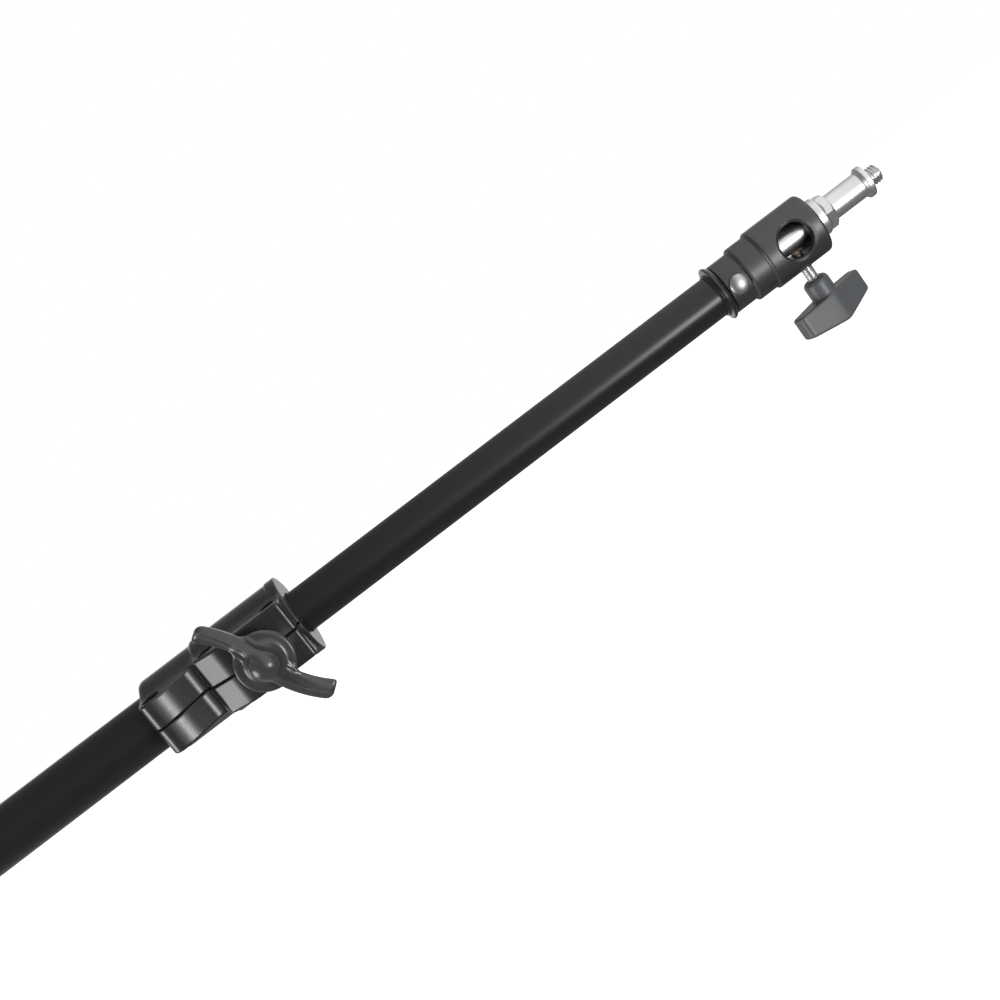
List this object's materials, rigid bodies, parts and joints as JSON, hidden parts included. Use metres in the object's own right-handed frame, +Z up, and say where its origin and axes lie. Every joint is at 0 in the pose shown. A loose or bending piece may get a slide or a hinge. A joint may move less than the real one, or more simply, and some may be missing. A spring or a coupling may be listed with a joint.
{
  "type": "telescopic overhead boom arm",
  "caption": "Telescopic studio boom arm: two nested tubes, a split clamp collar with a wing knob, and a head whose T-knob clamps a double-ended spigot with a threaded stud.",
  "frame": {"origin": "point on the boom's axis at the middle of the stretch of outer tube that the clamp of a stand grips", "axes": "+X along the boom towards the spigot, -Y towards the wing knob, -Z towards the T-knob, +Z up"},
  "size_m": [1.0011, 0.0746, 0.0751],
  "materials": {
    "tube_coat": "black coating with a satin sheen",
    "collar_black": "moulded, satin black",
    "head_black": "satin black over turned aluminium",
    "knob_plastic": "moulded, satin dark grey",
    "plug_plastic": "moulded, matt black",
    "nylon": "natural nylon",
    "rubber": "smooth black rubber",
    "spigot_chrome": "plated, turned",
    "zinc_steel": "bright zinc plating",
    "black_steel": "blackened steel",
    "brass": "plain turned brass"
  },
  "bodies": {
    "outer_boom": {"outer_tube": "tube_coat", "rear_end_plug": "plug_plastic", "tube_mouth_bush": "nylon", "collar_upper_shell": "collar_black", "collar_lower_shell": "collar_black", "collar_guide_bush": "nylon", "lug_screw": "black_steel", "lug_nut": "black_steel", "block_rear_screw": "black_steel", "block_rear_nut": "black_steel", "block_front_screw": "black_steel", "block_front_nut": "black_steel", "captive_nut": "zinc_steel"},
    "brake": {"brake_shoe": "brass"},
    "wing": {"wing_bolt": "zinc_steel", "wing_knob": "knob_plastic"},
    "glide": {"glide_bush": "nylon"},
    "inner_boom": {"inner_tube": "tube_coat", "inner_end_plug": "plug_plastic", "bumper_ring": "rubber", "head_socket": "head_black", "head_rivet": "spigot_chrome"},
    "spigot_stud": {"spigot": "spigot_chrome"},
    "clamp_pad": {"pressure_pad": "brass"},
    "t_handle": {"t_knob_screw": "zinc_steel", "t_knob": "knob_plastic"}
  },
  "joints": [
    {"name": "boom_extend", "type": "slide", "parent": "outer_boom", "child": "glide", "axis": [1, 0, 0], "range_m": [-0.234, 0.256]},
    {"name": "boom_twist", "type": "hinge", "parent": "glide", "child": "inner_boom", "pos_m": [0.3, 0, 0], "axis": [1, 0, 0], "continuous": true},
    {"name": "brake_travel", "type": "slide", "parent": "outer_boom", "child": "brake", "axis": [0, -1, 0], "range_m": [0, 0.00187]},
    {"name": "wing_knob_turn", "type": "hinge", "parent": "brake", "child": "wing", "pos_m": [0.3487, -0.03, 0], "axis": [0, -1, 0], "range_deg": [0, 540]},
    {"name": "spigot_turn", "type": "hinge", "parent": "inner_boom", "child": "spigot_stud", "pos_m": [0.66, 0, 0.0003], "axis": [1, 0, 0], "continuous": true},
    {"name": "clamp_pad_travel", "type": "slide", "parent": "inner_boom", "child": "clamp_pad", "axis": [0, 0, -1], "range_m": [0, 0.002]},
    {"name": "t_knob_turn", "type": "hinge", "parent": "clamp_pad", "child": "t_handle", "pos_m": [0.6444, 0, -0.02], "axis": [0, 0, -1], "range_deg": [0, 720]}
  ],
  "couplings": [
    {"joint": "brake_travel", "follows": "wing_knob_turn", "m_per_rad": 0.00019894},
    {"joint": "clamp_pad_travel", "follows": "t_knob_turn", "m_per_rad": 0.00015915}
  ]
}
